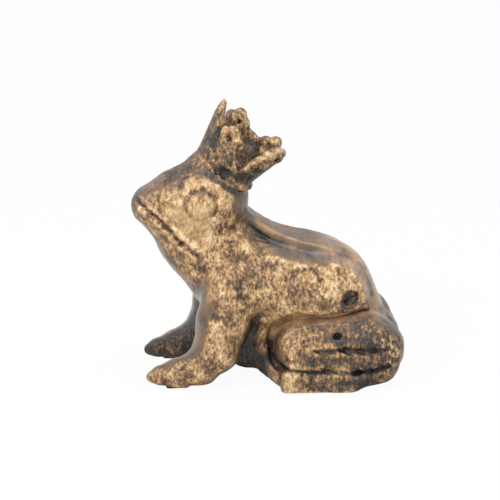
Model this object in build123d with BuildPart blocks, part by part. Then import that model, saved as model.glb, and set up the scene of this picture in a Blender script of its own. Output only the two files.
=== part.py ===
import os
from math import asin, cos, pi, sin, sqrt
from build123d import *

os.makedirs("parts", exist_ok=True)

# Driving dimensions, millimetres and degrees.
# The frog faces -Y, its left side is +X, and the joint between the halves is the plane X = 0.
half_length = 47.5
half_width = 28.1
back_high = 56.5
wall = 4.0
pad_thick = 0.8
fit_gap = 0.3

# How much longer, wider and higher than drawn the body is, so that all that sits on it follows.
long = half_length / 47.5
wide = half_width / 28.1
high = back_high / 56.5

# Cross screw, its boss and its nut.
screw_y = 26.6 * long
screw_z = 31.7 * high
screw_dia = 2.5
screw_head_dia = 4.7
screw_head_high = 1.4
screw_head_rim = 0.3
screw_recess_x = 17.4 * wide
boss_dia = 12.0
nut_across = 5.0
nut_thick = 2.0
nut_seat_x = 13.6 * wide
screw_past_nut = 0.9
slot_wide = 0.7
slot_deep = 0.6

# Cast pegs on the joint face, as Y and Z.
peg_dia = 4.0
peg_long = 4.0
peg_boss_dia = 11.0
peg_spots = [(-13.0 * long, 29.0 * high), (34.0 * long, 15.0 * high)]

# Crown and its fixing. Heights run along the crown's own leaning axis from its seat.
crown_y = -17.4 * long
crown_z = 73.0 * high
crown_lean = 38.0
crown_base_r = 10.7
crown_tip_r = 15.2
crown_tip_high = 21.6
crown_wall = 2.8
crown_floor = 5.0
crown_hole_up = 1.8
rim_high = 16.4
leaf_count = 5
leaf_proud = 0.7
# Dips of the rim between the leaves: degrees from the frog's front, and how high the dip's bottom is.
rim_dips = [(36.0, 12.6), (106.0, 7.0), (180.0, 12.5), (254.0, 13.4), (324.0, 12.6)]
dip_wide = 9.0
# Beads round the base: degrees from the front, distance out, height and radius.
bead_spots = [(53.0, 10.2, 1.8, 1.5), (127.0, 10.9, 2.6, 2.2), (180.0, 10.6, 2.2, 2.0)]
bead_spots += [(233.0, 10.9, 2.6, 2.2), (307.0, 10.2, 1.8, 1.5)]
# A hollow on each side of the base, under the side leaf.
hollow_turns = [78.0, 282.0]
hollow_out = 11.4
hollow_up = 1.6
hollow_r = 2.2
seat_thick = 6.0
stem_dia = 8.0
crown_screw_dia = 4.0
crown_screw_long = 7.8
crown_head_dia = 7.0
crown_head_high = 2.4
washer_dia = 11.0
washer_thick = 0.8

# Felt pads under the feet on the left.
fore_pad_x = 15.4 * wide
fore_pad_y = -33.0 * long
fore_pad_long = 8.0 * long
fore_pad_wide = 2.8 * wide
fore_pad_turn = 94.0
hind_pad_x = 20.4 * wide
hind_pad_y = 17.0 * long
hind_pad_long = 20.0 * long
hind_pad_wide = 6.0 * wide
hind_pad_turn = 90.0

# Rings of the trunk and of the head: Y, centre height, half width, half height.
trunk_rings = [
    (-29.2, 37.8, 3.0, 2.8),
    (-26.4, 37.8, 10.2, 9.2),
    (-22.5, 38.0, 14.0, 12.5),
    (-17.5, 38.8, 16.4, 14.8),
    (-11.0, 38.5, 17.2, 16.2),
    (-4.0, 35.8, 18.0, 17.5),
    (4.0, 32.0, 19.7, 18.6),
    (12.0, 27.2, 20.2, 21.4),
    (18.0, 24.4, 20.2, 22.7),
    (24.0, 23.2, 20.0, 22.7),
    (30.0, 21.8, 18.7, 20.2),
    (34.5, 19.6, 15.2, 15.6),
    (38.5, 18.2, 11.0, 10.2),
    (41.4, 18.0, 4.0, 3.6),
]
head_rings = [
    (-47.4, 62.0, 1.6, 2.0),
    (-46.2, 61.6, 2.9, 3.4),
    (-44.5, 61.1, 4.9, 5.8),
    (-41.5, 60.0, 6.9, 9.1),
    (-38.0, 58.6, 9.0, 12.9),
    (-34.0, 57.0, 11.2, 17.2),
    (-30.0, 55.0, 12.8, 20.9),
    (-26.0, 53.8, 13.7, 22.6),
    (-21.0, 53.3, 14.0, 22.3),
    (-16.0, 54.2, 13.2, 20.2),
    (-12.0, 56.0, 10.8, 16.1),
    (-8.8, 57.4, 6.4, 11.0),
]
cavity_trunk = trunk_rings[3:12]
cavity_head = head_rings[5:11]
# Least that a head ring's half height stays above its half width, so a wider head grows taller where it must.
cheek_least = 0.3

# Flat strip along the back, as Y, height of its top and half width, and how thick it is.
plate_line = [
    (-10.0, 61.6, 5.0),
    (-3.3, 55.9, 7.0),
    (1.2, 53.3, 7.8),
    (5.4, 51.7, 8.3),
    (10.2, 50.1, 9.0),
    (14.1, 49.3, 9.2),
    (20.5, 47.1, 9.0),
    (26.0, 43.4, 7.8),
]
plate_thick = 9.0

# Eggs that swell the belly and the flank: centre, half sizes, pitch of the long axis.
belly_at = (0.0, 3.0, 14.4)
belly_size = (15.5, 25.0, 12.6)
flank_at = (11.9, 11.4, 33.6)
flank_size = (9.4, 21.2, 12.5)
flank_pitch = -20.0
egg_shares = [-0.985, -0.85, -0.5, 0.0, 0.5, 0.85, 0.985]

# Groove round the thigh, and the hollow behind the fore leg.
cove_deep = 1.9
cove_wide = 2.4
recess_rings = [
    ((24.0, -4.5, 36.0), 0.8, 90.0),
    ((20.5, -4.2, 25.0), 3.8, 90.0),
    ((18.0, -3.6, 13.0), 5.0, 90.0),
    ((17.0, -2.0, 4.0), 6.0, 90.0),
    ((17.0, -1.6, -3.0), 6.2, 90.0),
]

# Hind foot, a block with rounded edges: centre and size.
foot_at = (18.6, 15.2, 2.9)
foot_size = (17.2, 25.6, 11.8)
foot_round = 2.4

# Eye, a ball sunk in the side of the head.
eye_r = 5.4

# Mouth line, a plane that falls back from the snout.
mouth_y = -45.5 * long
mouth_z = 64.2 * high
mouth_fall = 45.8
mouth_long = 24.0
mouth_wide = 0.9
mouth_deep = 1.0

# Fore leg on the left: centre X, Y, Z, radius and the lean of the ring below level.
fore_rings = [
    ((9.0, -12.6, 43.5), 5.6, 76.0),
    ((11.8, -13.4, 39.5), 8.8, 77.0),
    ((13.0, -14.0, 34.0), 10.0, 77.0),
    ((15.0, -16.5, 23.0), 8.8, 75.0),
    ((16.0, -19.0, 14.0), 7.8, 62.0),
    ((16.0, -25.0, 7.5), 6.2, 34.0),
    ((15.5, -33.0, 5.0), 5.0, 12.0),
    ((14.6, -39.4, 4.2), 3.4, 6.0),
    ((14.3, -42.2, 3.8), 1.4, 4.0),
]

crown_axis = Vector(0, sin(crown_lean * pi / 180), cos(crown_lean * pi / 180))
crown_plane = Plane(origin=(0, crown_y, crown_z), x_dir=(1, 0, 0), z_dir=crown_axis)


# A skin drawn through upright rings, pulled in by the wall for the hollow inside.
def ring_skin(rings, inset):
    with BuildPart() as skin:
        for y, z, across, up in rings:
            with BuildSketch(Plane(origin=(0, y * long, z * high), x_dir=(1, 0, 0), z_dir=(0, 1, 0))):
                Ellipse(across * wide - inset, up * high - inset)
        loft()
    return skin.part


# The same through upright rings with straight cheeks and a round top and bottom.
def head_skin(rings, inset):
    with BuildPart() as skin:
        for y, z, across, up in rings:
            tall = max(up * high, across * wide + cheek_least)
            with BuildSketch(Plane(origin=(0, y * long, z * high), x_dir=(1, 0, 0), z_dir=(0, 1, 0))):
                SlotOverall(2 * (tall - inset), 2 * (across * wide - inset), rotation=90)
        loft()
    return skin.part


# A skin through round rings that lean more and more forward, for a leg.
def leg_skin(rings):
    with BuildPart() as skin:
        for (x, y, z), radius, lean in rings:
            turn = lean * pi / 180
            ahead = Vector(0, -cos(turn), -sin(turn))
            with BuildSketch(Plane(origin=(x * wide, y * long, z * high), x_dir=(1, 0, 0), z_dir=ahead)):
                Circle(radius * wide)
        loft()
    return skin.part


# An egg drawn through rings along its own length, pulled in by an inset.
def egg_skin(at, size, pitch, inset):
    tip = pitch * pi / 180
    along = Vector(0, cos(tip), sin(tip))
    middle = Vector(at[0] * wide, at[1] * long, at[2] * high)
    with BuildPart() as egg:
        for share in egg_shares:
            round_share = sqrt(1 - share * share)
            spot = middle + along * ((size[1] * long - inset) * share)
            with BuildSketch(Plane(origin=spot, x_dir=(1, 0, 0), z_dir=along)):
                Ellipse((size[0] * wide - inset) * round_share, (size[2] * high - inset) * round_share)
        loft()
    return egg.part


# A solid with a ball at each end and a straight taper between, turned about its own axis.
def lozenge(first_at, first_r, second_at, second_r):
    start = Vector(first_at[0] * wide, first_at[1] * long, first_at[2] * high)
    stop = Vector(second_at[0] * wide, second_at[1] * long, second_at[2] * high)
    start_r = first_r * wide
    stop_r = second_r * wide
    run = stop - start
    length = run.length
    tilt = asin((start_r - stop_r) / length)
    side = run.cross(Vector(0, 0, 1)).normalized()
    first = (start_r * sin(tilt), start_r * cos(tilt))
    second = (length + stop_r * sin(tilt), stop_r * cos(tilt))
    half = (pi / 2 + tilt) / 2
    rest = (pi / 2 - tilt) / 2
    with BuildPart() as solid:
        with BuildSketch(Plane(origin=start, x_dir=run, z_dir=side)):
            with BuildLine():
                ThreePointArc((-start_r, 0), (-start_r * cos(half), start_r * sin(half)), first)
                Line(first, second)
                ThreePointArc(second, (length + stop_r * cos(rest), stop_r * sin(rest)), (length + stop_r, 0))
                Line((length + stop_r, 0), (-start_r, 0))
            make_face()
        revolve(axis=Axis(start, run))
    return solid.part


# A cylinder along X from one X to another, at a given Y and Z.
def cross_bar(y, z, dia, x_from, x_to):
    with BuildPart() as bar:
        with BuildSketch(Plane(origin=(x_from, y, z), x_dir=(0, 1, 0), z_dir=(1, 0, 0))):
            Circle(dia / 2)
        extrude(amount=x_to - x_from)
    return bar.part


# The mouth line: a thin slab round the snout, only as deep as the groove.
with BuildPart() as mouth_line:
    with Locations(Location((0, mouth_y, mouth_z), (-mouth_fall, 0, 0))):
        Box(60, 2 * mouth_long, mouth_wide)
    add(head_skin(head_rings, mouth_deep), mode=Mode.SUBTRACT)

# The strip along the back: its side view, kept inside its top view.
with BuildPart() as plate:
    top_edge = [(y * long, z * high) for y, z, across in plate_line]
    low_edge = [(y * long, (z - plate_thick) * high) for y, z, across in plate_line]
    with BuildSketch(Plane.YZ):
        Polygon(*top_edge, *low_edge[::-1], align=None)
    extrude(amount=half_width, both=True)
    left_edge = [(across * wide, y * long) for y, z, across in plate_line]
    right_edge = [(-across * wide, y * long) for y, z, across in plate_line]
    with BuildSketch(Plane.XY):
        Polygon(*left_edge, *right_edge[::-1], align=None)
    extrude(amount=2 * back_high, mode=Mode.INTERSECT)

# The groove round the thigh, no deeper than its depth under the trunk, belly and flank.
with BuildPart() as cove:
    add(lozenge((18.0, 9.5, 15.6), 9.3 + cove_wide, (16.9, 31.0, 15.0), 11.2 + 0.2 * cove_wide))
    add(ring_skin(trunk_rings, cove_deep), mode=Mode.SUBTRACT)
    add(egg_skin(belly_at, belly_size, 0, cove_deep), mode=Mode.SUBTRACT)
    add(egg_skin(flank_at, flank_size, flank_pitch, cove_deep), mode=Mode.SUBTRACT)

# The hind foot's block.
with BuildPart() as foot:
    with Locations((foot_at[0] * wide, foot_at[1] * long, foot_at[2] * high)):
        Box(foot_size[0] * wide, foot_size[1] * long, foot_size[2] * high)
    fillet(foot.edges(), foot_round)

# The outside of the left half: trunk, head, crown seat, eye and the two legs.
with BuildPart() as outside:
    add(ring_skin(trunk_rings, 0))
    add(egg_skin(belly_at, belly_size, 0, 0))
    add(egg_skin(flank_at, flank_size, flank_pitch, 0))
    add(leg_skin(recess_rings), mode=Mode.SUBTRACT)
    add(head_skin(head_rings, 0))
    add(mouth_line.part, mode=Mode.SUBTRACT)
    add(plate.part)
    add(lozenge((0, -20.0, 66.5), 11.6, (0, -17.9, 72.3), 10.9))
    with BuildSketch(crown_plane):
        Circle(crown_base_r + 2.6)
    extrude(amount=crown_tip_high, mode=Mode.SUBTRACT)
    with Locations((10.4 * wide, -23.0 * long, 64.3 * high)):
        Sphere(eye_r)
    add(leg_skin(fore_rings))
    add(lozenge((6.0, -2.4, 7.8), 6.2, (17.0, 4.0, 5.2), 5.0))
    add(cove.part, mode=Mode.SUBTRACT)
    add(lozenge((18.0, 9.5, 15.6), 9.3, (16.9, 31.0, 15.0), 11.2))
    add(lozenge((14.0, 34.6, 12.2), 11.8, (8.0, 37.4, 10.0), 10.0))
    add(lozenge((22.4, 9.0, 11.0), 5.6, (19.0, 36.0, 8.5), 7.0))
    add(lozenge((20.0, 26.0, 5.0), 6.6, (16.5, 38.2, 6.0), 6.8))
    add(foot.part)
    with Locations((0, 0, pad_thick)):
        Box(200, 200, 40, align=(Align.CENTER, Align.CENTER, Align.MAX), mode=Mode.SUBTRACT)
    split(bisect_by=Plane.YZ, keep=Keep.TOP)


# The hollow inside, stopped under the crown's seat and kept off the bosses.
with BuildPart() as hollow:
    add(head_skin(cavity_head, wall))
    with BuildSketch(crown_plane.offset(-seat_thick)):
        Rectangle(120, 120)
    extrude(amount=60, mode=Mode.SUBTRACT)
    with BuildSketch(crown_plane.offset(-seat_thick)):
        Circle(washer_dia / 2 + 1)
    extrude(amount=-9)
    add(ring_skin(cavity_trunk, wall))
    add(cross_bar(screw_y, screw_z, boss_dia, -half_width, half_width), mode=Mode.SUBTRACT)
    for peg_y, peg_z in peg_spots:
        add(cross_bar(peg_y, peg_z, peg_boss_dia, -half_width, half_width), mode=Mode.SUBTRACT)

# The left half with its screw recess and pegs.
with BuildPart() as left_half:
    add(outside.part)
    add(hollow.part, mode=Mode.SUBTRACT)
    with BuildSketch(crown_plane):
        Circle(stem_dia / 2 + fit_gap)
    extrude(amount=-seat_thick - 1, mode=Mode.SUBTRACT)
    add(cross_bar(screw_y, screw_z, screw_dia + 2 * fit_gap, -1, half_width), mode=Mode.SUBTRACT)
    with BuildSketch(Plane(origin=(0, screw_y, screw_z), x_dir=(1, 0, 0), z_dir=(0, 0, 1))):
        with BuildLine():
            Polyline(
                (screw_recess_x - screw_head_high, 0),
                (screw_recess_x - screw_head_high, screw_dia / 2 + fit_gap),
                (screw_recess_x - screw_head_rim, screw_head_dia / 2 + fit_gap),
                (half_width, screw_head_dia / 2 + fit_gap),
                (half_width, 0),
                close=True,
            )
        make_face()
    revolve(axis=Axis((0, screw_y, screw_z), (1, 0, 0)), mode=Mode.SUBTRACT)
    for peg_y, peg_z in peg_spots:
        add(cross_bar(peg_y, peg_z, peg_dia, -peg_long, 2))
left_half.part.label = "left_half"
export_step(left_half.part, "parts/left_half.step")

# The right half, the same casting mirrored, with the nut pocket and the peg sockets.
with BuildPart() as right_half:
    add(mirror(outside.part, about=Plane.YZ, mode=Mode.PRIVATE))
    add(hollow.part, mode=Mode.SUBTRACT)
    with BuildSketch(crown_plane):
        Circle(stem_dia / 2 + fit_gap)
    extrude(amount=-seat_thick - 1, mode=Mode.SUBTRACT)
    add(cross_bar(screw_y, screw_z, screw_dia + 2 * fit_gap, -half_width, 1), mode=Mode.SUBTRACT)
    with BuildSketch(Plane(origin=(-nut_seat_x, screw_y, screw_z), x_dir=(0, 1, 0), z_dir=(-1, 0, 0))):
        Rectangle(nut_across + 2 * fit_gap, nut_across + 2 * fit_gap)
    extrude(amount=half_width - nut_seat_x, mode=Mode.SUBTRACT)
    for peg_y, peg_z in peg_spots:
        add(cross_bar(peg_y, peg_z, peg_dia + 2 * fit_gap, -peg_long - 0.5, 1), mode=Mode.SUBTRACT)
right_half.part.label = "right_half"
export_step(right_half.part, "parts/right_half.step")

# The slotted countersunk screw, from the left flank through to past the nut.
screw_end_x = -(nut_seat_x + nut_thick + screw_past_nut)
with BuildPart() as tie_screw:
    with BuildSketch(Plane(origin=(0, screw_y, screw_z), x_dir=(1, 0, 0), z_dir=(0, 0, 1))):
        with BuildLine():
            Polyline(
                (screw_recess_x, 0),
                (screw_recess_x, screw_head_dia / 2),
                (screw_recess_x - screw_head_rim, screw_head_dia / 2),
                (screw_recess_x - screw_head_high, screw_dia / 2),
                (screw_end_x + 0.5, screw_dia / 2),
                (screw_end_x, screw_dia / 2 - 0.5),
                (screw_end_x, 0),
                close=True,
            )
        make_face()
    revolve(axis=Axis((0, screw_y, screw_z), (1, 0, 0)))
    with Locations((screw_recess_x, screw_y, screw_z)):
        Box(2 * slot_deep, 2 * screw_head_dia, slot_wide, rotation=(30, 0, 0), mode=Mode.SUBTRACT)
tie_screw.part.label = "tie_screw"
export_step(tie_screw.part, "parts/tie_screw.step")

# The square nut, seated on the floor of its pocket.
with BuildPart() as tie_nut:
    with BuildSketch(Plane(origin=(-nut_seat_x, screw_y, screw_z), x_dir=(0, 1, 0), z_dir=(-1, 0, 0))):
        Rectangle(nut_across, nut_across)
        Circle(screw_dia / 2 + fit_gap / 2, mode=Mode.SUBTRACT)
    extrude(amount=nut_thick)
tie_nut.part.label = "tie_nut"
export_step(tie_nut.part, "parts/tie_nut.step")


# Outer radius of the crown's wall at a height above its seat.
def crown_radius(high):
    return crown_base_r + (crown_tip_r - crown_base_r) * high / crown_tip_high


# A direction straight out from the crown's axis, counted from the frog's front.
def crown_out(turn):
    ahead = Vector(0, -cos(crown_lean * pi / 180), sin(crown_lean * pi / 180))
    return ahead * cos(turn) + Vector(1, 0, 0) * sin(turn)


crown_side = Plane(origin=crown_plane.origin, x_dir=(1, 0, 0), z_dir=Vector(1, 0, 0).cross(crown_axis))
crown_line = Axis(crown_plane.origin, crown_axis)
leaf_root = 0.42 * crown_tip_high
lobe_r = 0.155 * crown_tip_r
lobe_out = 0.2 * crown_tip_r
lobe_high = 0.77 * crown_tip_high


# A plane through the crown's axis that looks straight out from it.
def crown_facing(turn):
    out = crown_out(turn)
    return Plane(origin=crown_plane.origin, x_dir=crown_axis.cross(out), z_dir=out)


# Outlines of the four trefoil leaves and of the plain blade in front, drawn straight out from the axis.
with BuildPart() as leaf_shapes:
    for k in range(1, leaf_count):
        with BuildSketch(crown_facing(2 * pi * k / leaf_count)):
            with Locations((0, 0.65 * crown_tip_high)):
                Ellipse(0.2 * crown_tip_r, 0.22 * crown_tip_high)
            with Locations((-lobe_out, lobe_high), (lobe_out, lobe_high), (0, crown_tip_high - lobe_r - 0.5)):
                Circle(lobe_r)
        extrude(amount=2 * crown_tip_r)
    with BuildSketch(crown_facing(0)):
        with Locations((0, 0.55 * crown_tip_high)):
            Ellipse(0.29 * crown_tip_r, 0.27 * crown_tip_high)
        with Locations((0, 0.77 * crown_tip_high)):
            Ellipse(0.185 * crown_tip_r, 0.23 * crown_tip_high)
    extrude(amount=2 * crown_tip_r)

# The leaves: a flared wall, thicker than the cup's, cut to those outlines.
with BuildPart() as leaves:
    with BuildSketch(crown_side):
        Polygon(
            (crown_radius(leaf_root) + leaf_proud, leaf_root),
            (crown_tip_r + leaf_proud, crown_tip_high),
            (crown_tip_r - crown_wall - leaf_proud, crown_tip_high),
            (crown_radius(leaf_root) - crown_wall - leaf_proud, leaf_root),
            align=None,
        )
    revolve(axis=crown_line)
    add(leaf_shapes.part, mode=Mode.INTERSECT)

# The crown: cup with its dipped rim, leaves, beads, hollows and the tapped stem below.
with BuildPart() as crown:
    with BuildSketch(crown_side):
        Polygon(
            (0, 0),
            (crown_base_r, 0),
            (crown_radius(rim_high), rim_high),
            (crown_radius(rim_high) - crown_wall, rim_high),
            (crown_radius(crown_floor) - crown_wall, crown_floor),
            (0, crown_floor),
            align=None,
        )
    revolve(axis=crown_line)
    for turn, dip in rim_dips:
        with BuildSketch(crown_facing(turn * pi / 180)):
            Polygon(
                (-dip_wide, crown_tip_high + dip),
                (-0.2 * dip_wide, dip),
                (0.2 * dip_wide, dip),
                (dip_wide, crown_tip_high + dip),
                align=None,
            )
        extrude(amount=2 * crown_tip_r, mode=Mode.SUBTRACT)
    add(leaves.part)
    for turn in hollow_turns:
        with Locations(crown_plane.origin + crown_axis * hollow_up + crown_out(turn * pi / 180) * hollow_out):
            Sphere(hollow_r, mode=Mode.SUBTRACT)
    for turn, out, up, radius in bead_spots:
        with Locations(crown_plane.origin + crown_axis * up + crown_out(turn * pi / 180) * out):
            Sphere(radius)
    with BuildSketch(crown_plane):
        Circle(stem_dia / 2)
    extrude(amount=-seat_thick + fit_gap)
    with BuildSketch(crown_plane.offset(crown_hole_up)):
        Circle(crown_screw_dia / 2 + fit_gap / 2)
    extrude(amount=-seat_thick - crown_hole_up, mode=Mode.SUBTRACT)
crown.part.label = "crown"
export_step(crown.part, "parts/crown.step")

# The washer under the crown's seat and the screw that goes up through it.
with BuildPart() as crown_washer:
    with BuildSketch(crown_plane.offset(-seat_thick)):
        Circle(washer_dia / 2)
        Circle(crown_screw_dia / 2 + fit_gap, mode=Mode.SUBTRACT)
    extrude(amount=-washer_thick)
crown_washer.part.label = "crown_washer"
export_step(crown_washer.part, "parts/crown_washer.step")

with BuildPart() as crown_screw:
    with BuildSketch(crown_plane.offset(-seat_thick - washer_thick)):
        Circle(crown_screw_dia / 2)
    extrude(amount=crown_screw_long)
    with BuildSketch(crown_plane.offset(-seat_thick - washer_thick)):
        Circle(crown_head_dia / 2)
    extrude(amount=-crown_head_high)
    with BuildSketch(crown_plane.offset(-seat_thick - washer_thick - crown_head_high)):
        Rectangle(2 * crown_head_dia, slot_wide)
    extrude(amount=slot_deep, mode=Mode.SUBTRACT)
crown_screw.part.label = "crown_screw"
export_step(crown_screw.part, "parts/crown_screw.step")

# The four felt pads.
with BuildPart() as pad_front_left:
    with BuildSketch(Plane.XY):
        with Locations((fore_pad_x, fore_pad_y)):
            SlotOverall(fore_pad_long, fore_pad_wide, rotation=fore_pad_turn)
    extrude(amount=pad_thick)
pad_front_left.part.label = "pad_front_left"
export_step(pad_front_left.part, "parts/pad_front_left.step")

with BuildPart() as pad_front_right:
    with BuildSketch(Plane.XY):
        with Locations((-fore_pad_x, fore_pad_y)):
            SlotOverall(fore_pad_long, fore_pad_wide, rotation=-fore_pad_turn)
    extrude(amount=pad_thick)
pad_front_right.part.label = "pad_front_right"
export_step(pad_front_right.part, "parts/pad_front_right.step")

with BuildPart() as pad_hind_left:
    with BuildSketch(Plane.XY):
        with Locations((hind_pad_x, hind_pad_y)):
            SlotOverall(hind_pad_long, hind_pad_wide, rotation=hind_pad_turn)
    extrude(amount=pad_thick)
pad_hind_left.part.label = "pad_hind_left"
export_step(pad_hind_left.part, "parts/pad_hind_left.step")

with BuildPart() as pad_hind_right:
    with BuildSketch(Plane.XY):
        with Locations((-hind_pad_x, hind_pad_y)):
            SlotOverall(hind_pad_long, hind_pad_wide, rotation=-hind_pad_turn)
    extrude(amount=pad_thick)
pad_hind_right.part.label = "pad_hind_right"
export_step(pad_hind_right.part, "parts/pad_hind_right.step")
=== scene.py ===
import math
import bpy
import numpy as np
import openvdb
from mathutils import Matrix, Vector


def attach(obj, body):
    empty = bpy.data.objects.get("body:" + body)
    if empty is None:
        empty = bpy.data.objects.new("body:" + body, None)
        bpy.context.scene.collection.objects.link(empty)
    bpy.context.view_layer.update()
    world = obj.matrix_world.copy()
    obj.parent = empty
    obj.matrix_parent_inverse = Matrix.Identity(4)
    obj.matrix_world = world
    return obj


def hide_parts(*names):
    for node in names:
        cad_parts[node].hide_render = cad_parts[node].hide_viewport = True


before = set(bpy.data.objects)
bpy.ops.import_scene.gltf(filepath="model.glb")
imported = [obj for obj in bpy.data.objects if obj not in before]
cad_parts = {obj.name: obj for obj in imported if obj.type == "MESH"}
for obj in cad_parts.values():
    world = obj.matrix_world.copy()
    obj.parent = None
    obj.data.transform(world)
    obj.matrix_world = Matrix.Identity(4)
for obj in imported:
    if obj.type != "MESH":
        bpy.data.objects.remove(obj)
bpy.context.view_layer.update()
mm = 0.001
print("frame loaded:", sorted(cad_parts))


# camera and studio

view = {
    "azimuth": 86, "elevation": 17,      # degrees: the frog's left side, a touch towards its front
    "target": (0, -6.65, 44.6),          # mm, what sits at the picture's middle
    "distance": 800, "across": 175,      # mm, and mm seen across the picture
    "sensor": 36,                        # mm, width of the camera's back
}

def lookFrom(ob, place, target):
    ob.location = place
    ob.rotation_mode = "QUATERNION"
    ob.rotation_quaternion = (Vector(target) - Vector(place)).to_track_quat("-Z", "Y")

def addCamera(v):
    az, el = math.radians(v["azimuth"]), math.radians(v["elevation"])
    away = Vector((math.sin(az) * math.cos(el), -math.cos(az) * math.cos(el), math.sin(el)))
    target = Vector(v["target"]) * mm
    cam = bpy.data.objects.new("photoCamera", bpy.data.cameras.new("photoCamera"))
    bpy.context.scene.collection.objects.link(cam)
    cam.data.sensor_width = v["sensor"]
    cam.data.lens = v["sensor"] * v["distance"] / v["across"]
    cam.data.clip_start = 10 * mm
    lookFrom(cam, target + away * v["distance"] * mm, target)
    bpy.context.scene.camera = cam

def toLinear(hexColour):
    parts = [int(hexColour[i:i + 2], 16) / 255 for i in (1, 3, 5)]
    return (*[c / 12.92 if c <= 0.04045 else ((c + 0.055) / 1.055) ** 2.4 for c in parts], 1)

def addNode(tree, kind, inputs=None, **settings):
    node = tree.nodes.new(kind)
    for name, value in settings.items():
        setattr(node, name, value)
    for socket, value in (inputs or {}).items():
        if isinstance(value, bpy.types.NodeSocket):
            tree.links.new(value, node.inputs[socket])
        else:
            node.inputs[socket].default_value = value
    return node

def newMaterial(name):
    mat = bpy.data.materials.new(name)
    mat.use_nodes = True
    mat.node_tree.nodes.clear()
    return mat, mat.node_tree

lamps = {
    "key": {"at": (0.50, -0.52, 0.58), "size": 0.45, "watts": 4.6},     # soft box, camera left
    "top": {"at": (0.05, 0.10, 0.80), "size": 0.60, "watts": 3.0},      # overhead sheet
    "fill": {"at": (0.50, 0.65, 0.35), "size": 0.50, "watts": 0.8},     # weak, camera right
}
lampAim = (0, 0, 0.045)                  # m, the frog's middle

def addLamps(rig):
    for name, box in rig.items():
        lamp = bpy.data.objects.new(name + "Lamp", bpy.data.lights.new(name + "Lamp", "AREA"))
        bpy.context.scene.collection.objects.link(lamp)
        lamp.data.energy, lamp.data.size = box["watts"], box["size"]
        lookFrom(lamp, box["at"], lampAim)

studio = {
    "white": "#ffffff", "card": "#f4f3f1",
    "ambient": 0.40,                     # world's light on the object; the camera and reflections see 1
    "burnt": 0.95,                       # how much of the card the camera sees as plain white
    "halfCard": 3,                       # m
}

def addStudio(s):
    world = bpy.data.worlds.new("studio")
    bpy.context.scene.world = world
    world.use_nodes = True
    tree = world.node_tree
    tree.nodes.clear()
    path = addNode(tree, "ShaderNodeLightPath").outputs
    seen = path["Is Camera Ray"]
    for ray in ("Is Glossy Ray", "Is Transmission Ray"):
        seen = addNode(tree, "ShaderNodeMath", {0: seen, 1: path[ray]}, operation="MAXIMUM").outputs[0]
    level = addNode(tree, "ShaderNodeMapRange", {"Value": seen, "To Min": s["ambient"], "To Max": 1.0})
    sky = addNode(tree, "ShaderNodeBackground", {"Color": toLinear(s["white"]), "Strength": level.outputs[0]})
    addNode(tree, "ShaderNodeOutputWorld", {"Surface": sky.outputs[0]})

    # white card: a pale matt sheet that the camera sees almost burnt out, with a trace of shadow left
    mat, tree = newMaterial("whiteCard")
    path = addNode(tree, "ShaderNodeLightPath").outputs
    matt = addNode(tree, "ShaderNodeBsdfDiffuse", {"Color": toLinear(s["card"])})
    glow = addNode(tree, "ShaderNodeEmission", {"Color": toLinear(s["white"]), "Strength": 1.0})
    part = addNode(tree, "ShaderNodeMath", {0: path["Is Camera Ray"], 1: s["burnt"]}, operation="MULTIPLY")
    both = addNode(tree, "ShaderNodeMixShader", {0: part.outputs[0], 1: matt.outputs[0], 2: glow.outputs[0]})
    addNode(tree, "ShaderNodeOutputMaterial", {"Surface": both.outputs[0]})
    mesh = bpy.data.meshes.new("floorCard")
    h = s["halfCard"]
    mesh.from_pydata([(-h, -h, 0), (h, -h, 0), (h, h, 0), (-h, h, 0)], [], [(0, 1, 2, 3)])
    mesh.materials.append(mat)
    floor = bpy.data.objects.new("floorCard", mesh)
    bpy.context.scene.collection.objects.link(floor)

bpy.context.scene.view_settings.view_transform = "Standard"
addCamera(view)
addLamps(lamps)
addStudio(studio)
print("camera, lamps and floor are in")


# clay: each form is a distance field in mm, forms melt together or are cut, and the result is skinned

def clayBlock(low, high, step):
    axes = [np.arange(a, b + step, step, dtype=np.float32) for a, b in zip(low, high)]
    return {"x": axes[0][:, None, None], "y": axes[1][None, :, None], "z": axes[2][None, None, :],
            "low": np.array(low, np.float32), "step": step, "shape": tuple(len(a) for a in axes)}

def filled(c, field):
    return np.ascontiguousarray(np.broadcast_to(field, c["shape"]), dtype=np.float32)

def melt(a, b, soft):
    h = np.maximum(soft - np.abs(a - b), 0) / soft
    return np.minimum(a, b) - h * h * soft / 4

def cut(a, b, soft):
    return -melt(-a, b, soft)

def ease(value, start, full):
    # 0 before start, 1 past full, which may lie on either side of it
    t = np.clip((value - start) / (full - start), 0, 1)
    return t * t * (3 - 2 * t)

def lump(c, at, size, pitch=0):
    # an egg on both sides of the frog, nose tipped by pitch degrees
    x, y, z = np.abs(c["x"]) - at[0], c["y"] - at[1], c["z"] - at[2]
    if pitch:
        s, k = math.sin(math.radians(pitch)), math.cos(math.radians(pitch))
        y, z = y * k + z * s, z * k - y * s
    near = np.sqrt((x / size[0]) ** 2 + (y / size[1]) ** 2 + (z / size[2]) ** 2)
    slope = np.sqrt((x / size[0] ** 2) ** 2 + (y / size[1] ** 2) ** 2 + (z / size[2] ** 2) ** 2) + 1e-6
    return near * (near - 1) / slope

def limb(c, points, soft=0.01, flat=1):
    # a chain of tapered rods on both sides, each point x, y, z, radius
    x = np.abs(c["x"])
    whole = None
    for a, b in zip(points[:-1], points[1:]):
        run = [(b[0] - a[0]) / flat, b[1] - a[1], b[2] - a[2]]
        px, py, pz = (x - a[0]) / flat, c["y"] - a[1], c["z"] - a[2]
        t = np.clip((px * run[0] + py * run[1] + pz * run[2]) / sum(r * r for r in run), 0, 1)
        d = np.sqrt((px - t * run[0]) ** 2 + (py - t * run[1]) ** 2 + (pz - t * run[2]) ** 2)
        d = d - (a[3] + (b[3] - a[3]) * t)
        whole = d if whole is None else melt(whole, d, soft)
    return whole

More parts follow.
